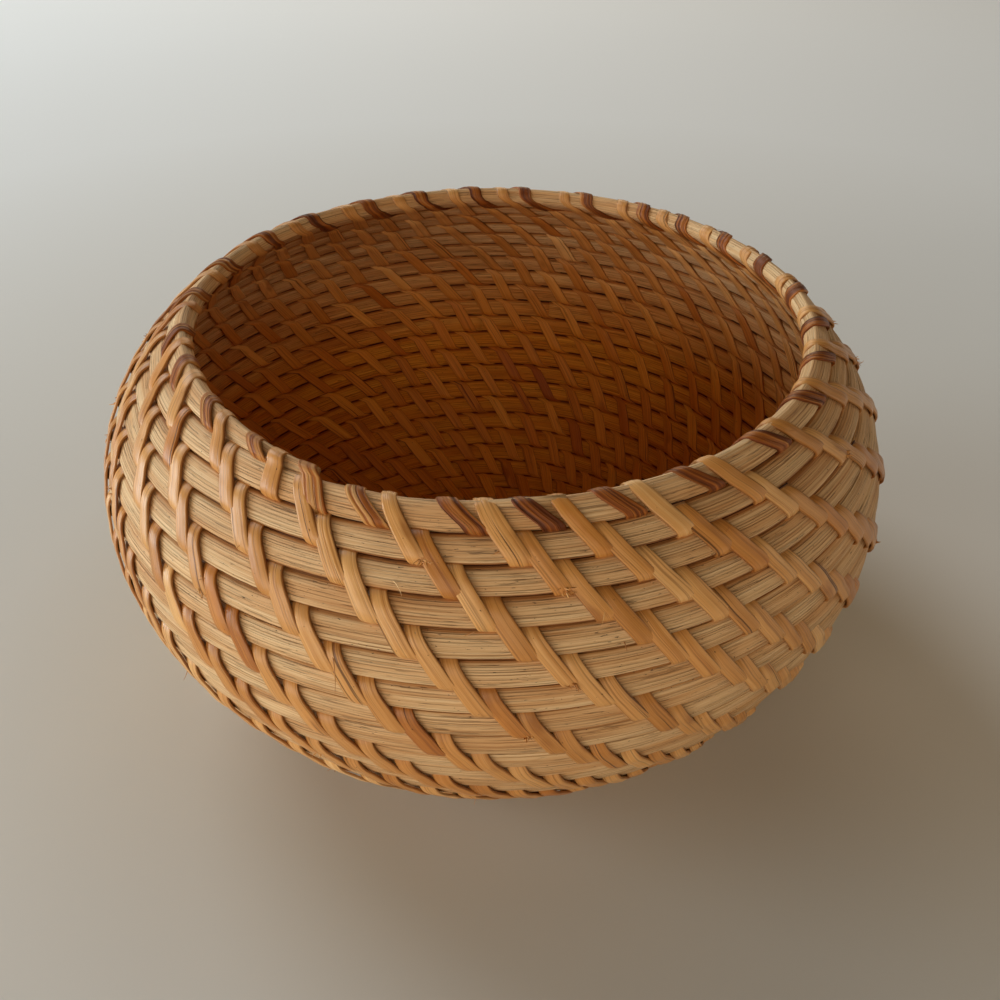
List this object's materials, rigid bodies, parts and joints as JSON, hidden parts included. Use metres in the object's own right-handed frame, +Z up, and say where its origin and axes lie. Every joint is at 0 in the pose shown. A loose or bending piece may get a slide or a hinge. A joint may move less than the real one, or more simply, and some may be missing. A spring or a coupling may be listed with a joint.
{
  "type": "coiled rattan basket",
  "caption": "Round open basket with a bellied wall and a narrower mouth, coiled from a flattened rattan core and sewn with slanted cane stitches.",
  "frame": {"origin": "middle of the flat underside, on the surface that the basket stands on", "axes": "+Z up through the mouth, -Y to the front, where the picture was taken from, +X to the right"},
  "size_m": [0.2495, 0.2493, 0.1352],
  "materials": {
    "core": "matt",
    "cane": "satin",
    "rim_cane": "satin"
  },
  "bodies": {
    "root": {"base_core": "core", "wall_core_01": "core", "wall_core_02": "core", "wall_core_03": "core", "wall_core_04": "core", "wall_core_05": "core", "wall_core_06": "core", "wall_core_07": "core", "wall_core_08": "core", "wall_core_09": "core", "wall_core_10": "core", "wall_core_11": "core", "wall_core_12": "core", "wall_core_13": "core", "wall_core_14": "core", "wall_core_15": "core", "wall_core_16": "core", "wall_core_17": "core", "wall_core_18": "core", "wall_core_19": "core", "wall_core_20": "core", "wall_core_21": "core", "wall_core_22": "core", "rim_core": "core", "binding_row_01": "cane", "binding_row_02": "cane", "binding_row_03": "cane", "binding_row_04": "cane", "binding_row_05": "cane", "binding_row_06": "cane", "binding_row_07": "cane", "binding_row_08": "cane", "binding_row_09": "cane", "binding_row_10": "cane", "binding_row_11": "cane", "binding_row_12": "cane", "binding_row_13": "cane", "binding_row_14": "cane", "binding_row_15": "cane", "binding_row_16": "cane", "binding_row_17": "cane", "binding_row_18": "cane", "rim_binding": "rim_cane"}
  },
  "joints": []
}
